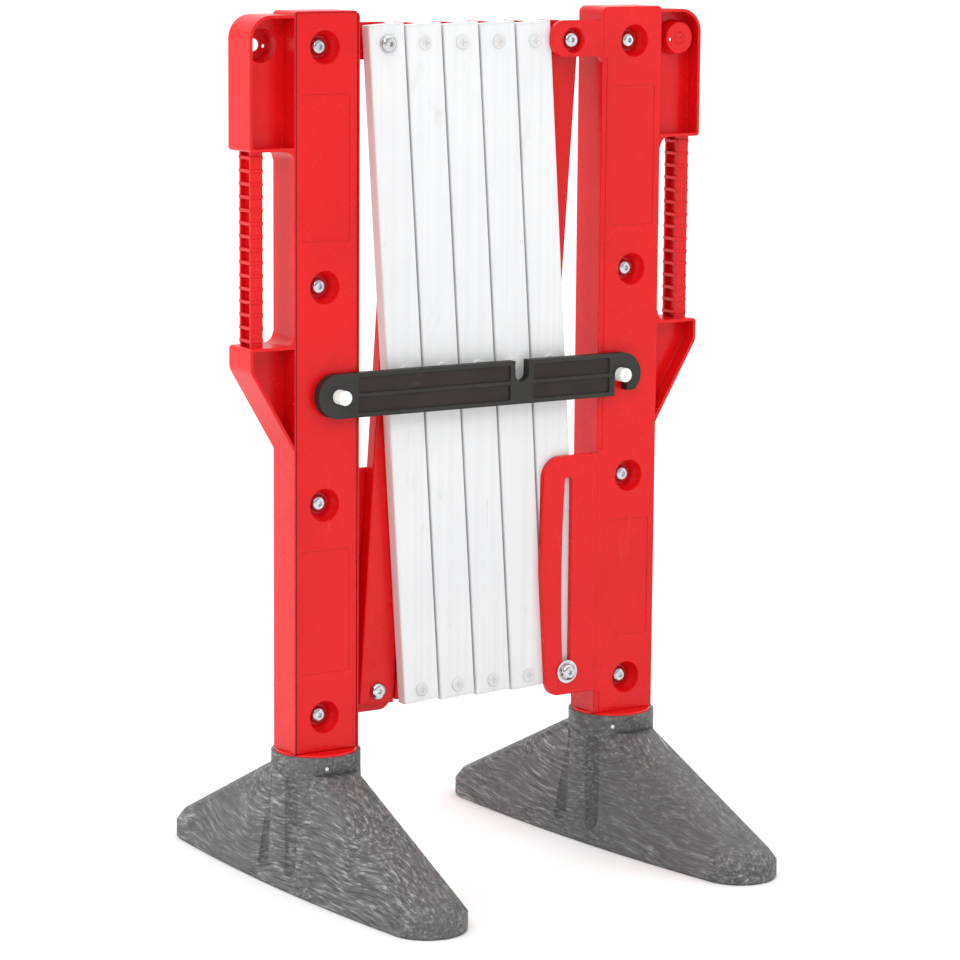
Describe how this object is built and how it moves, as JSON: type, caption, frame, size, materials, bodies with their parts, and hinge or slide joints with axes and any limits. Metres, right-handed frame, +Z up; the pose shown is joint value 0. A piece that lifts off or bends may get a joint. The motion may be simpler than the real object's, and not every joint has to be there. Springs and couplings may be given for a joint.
{
  "type": "expanding lattice barrier",
  "caption": "Closed expanding lattice barrier: two red posts with grips and link ears on rubber feet, crossed red and white slats between, and a hooked black strap.",
  "frame": {"origin": "on the floor midway between the two posts, in the middle of their depth", "axes": "+X along the barrier from the left post to the right post seen from the front, front towards -Y, +Z up"},
  "size_m": [0.608, 0.5618, 1],
  "materials": {
    "red_plastic": "semi-gloss moulded polypropylene",
    "white_plastic": "semi-gloss extruded plastic",
    "white_rivet": "satin nylon",
    "white_nylon": "satin nylon",
    "black_plastic": "glossy moulded plastic",
    "plated_steel": "bright zinc plate",
    "rubber": "recycled rubber with pale streaks"
  },
  "bodies": {
    "left_post": {"left_post_body": "red_plastic", "left_post_cover": "red_plastic", "left_post_nuts": "plated_steel", "left_post_screws": "plated_steel", "left_spigot": "red_plastic", "left_strap_pin": "white_nylon", "left_top_bolt": "plated_steel", "left_top_nut": "plated_steel", "left_top_washer": "plated_steel"},
    "right_post": {"right_link_plug": "red_plastic", "right_post_body": "red_plastic", "right_post_cover": "red_plastic", "right_post_nuts": "plated_steel", "right_post_screws": "plated_steel", "right_spigot": "red_plastic", "right_strap_pin": "white_nylon", "right_top_bolt": "plated_steel", "right_top_nut": "plated_steel", "right_top_washer": "plated_steel"},
    "strap": {"strap": "black_plastic"},
    "left_foot": {"left_foot": "rubber", "left_foot_lock": "plated_steel"},
    "right_foot": {"right_foot": "rubber", "right_foot_lock": "plated_steel"},
    "white_1": {"white_slat_1": "white_plastic", "white_plugs_1": "white_plastic", "rivets_1": "white_rivet"},
    "red_1": {"red_slat_1": "red_plastic", "red_plugs_1": "red_plastic", "left_slide_bolt": "plated_steel", "left_slide_washer": "plated_steel", "left_slide_nut": "plated_steel"},
    "white_2": {"white_slat_2": "white_plastic", "white_plugs_2": "white_plastic", "rivets_2": "white_rivet"},
    "red_2": {"red_slat_2": "red_plastic", "red_plugs_2": "red_plastic"},
    "white_3": {"white_slat_3": "white_plastic", "white_plugs_3": "white_plastic", "rivets_3": "white_rivet"},
    "red_3": {"red_slat_3": "red_plastic", "red_plugs_3": "red_plastic"},
    "white_4": {"white_slat_4": "white_plastic", "white_plugs_4": "white_plastic", "rivets_4": "white_rivet"},
    "red_4": {"red_slat_4": "red_plastic", "red_plugs_4": "red_plastic"},
    "white_5": {"white_slat_5": "white_plastic", "white_plugs_5": "white_plastic", "rivets_5": "white_rivet", "right_slide_bolt": "plated_steel", "right_slide_washer": "plated_steel", "right_slide_nut": "plated_steel"},
    "red_5": {"red_slat_5": "red_plastic", "red_plugs_5": "red_plastic"}
  },
  "joints": [
    {"name": "extension", "type": "hinge", "parent": "left_post", "child": "white_1", "pos_m": [-0.1235, 0, 0.962], "axis": [0, -1, 0], "range_deg": [0, 42.5]},
    {"name": "cross_1", "type": "hinge", "parent": "white_1", "child": "red_1", "pos_m": [-0.0988, 0, 0.5883], "axis": [0, -1, 0], "range_deg": [-85, 0]},
    {"name": "low_1", "type": "hinge", "parent": "white_1", "child": "red_2", "pos_m": [-0.0741, 0, 0.2146], "axis": [0, -1, 0], "range_deg": [-85, 0]},
    {"name": "cross_2", "type": "hinge", "parent": "red_2", "child": "white_2", "pos_m": [-0.0494, 0, 0.5883], "axis": [0, -1, 0], "range_deg": [0, 85]},
    {"name": "top_2", "type": "hinge", "parent": "red_2", "child": "white_3", "pos_m": [-0.0247, 0, 0.962], "axis": [0, -1, 0], "range_deg": [0, 85]},
    {"name": "cross_3", "type": "hinge", "parent": "white_3", "child": "red_3", "pos_m": [0, 0, 0.5883], "axis": [0, -1, 0], "range_deg": [-85, 0]},
    {"name": "low_3", "type": "hinge", "parent": "white_3", "child": "red_4", "pos_m": [0.0247, 0, 0.2146], "axis": [0, -1, 0], "range_deg": [-85, 0]},
    {"name": "cross_4", "type": "hinge", "parent": "red_4", "child": "white_4", "pos_m": [0.0494, 0, 0.5883], "axis": [0, -1, 0], "range_deg": [0, 85]},
    {"name": "top_4", "type": "hinge", "parent": "red_4", "child": "white_5", "pos_m": [0.0741, 0, 0.962], "axis": [0, -1, 0], "range_deg": [0, 85]},
    {"name": "cross_5", "type": "hinge", "parent": "white_5", "child": "red_5", "pos_m": [0.0988, 0, 0.5883], "axis": [0, -1, 0], "range_deg": [-85, 0]},
    {"name": "right_hang", "type": "hinge", "parent": "red_5", "child": "right_post", "pos_m": [0.1235, 0, 0.962], "axis": [0, -1, 0], "range_deg": [0, 42.5]},
    {"name": "strap_swing", "type": "hinge", "parent": "left_post", "child": "strap", "pos_m": [-0.197, -0.031, 0.569], "axis": [0, -1, 0], "range_deg": [0, 262]},
    {"name": "left_foot_swivel", "type": "hinge", "parent": "left_post", "child": "left_foot", "pos_m": [-0.206, 0, 0.1], "axis": [0, 0, 1], "range_deg": [-41.5, 38.5]},
    {"name": "right_foot_swivel", "type": "hinge", "parent": "right_post", "child": "right_foot", "pos_m": [0.206, 0, 0.1], "axis": [0, 0, 1], "range_deg": [-45, 35]}
  ],
  "couplings": [
    {"joint": "cross_1", "follows": "extension", "ratio": -2},
    {"joint": "low_1", "follows": "extension", "ratio": -2},
    {"joint": "cross_2", "follows": "extension", "ratio": 2},
    {"joint": "top_2", "follows": "extension", "ratio": 2},
    {"joint": "cross_3", "follows": "extension", "ratio": -2},
    {"joint": "low_3", "follows": "extension", "ratio": -2},
    {"joint": "cross_4", "follows": "extension", "ratio": 2},
    {"joint": "top_4", "follows": "extension", "ratio": 2},
    {"joint": "cross_5", "follows": "extension", "ratio": -2},
    {"joint": "right_hang", "follows": "extension", "ratio": 1}
  ]
}
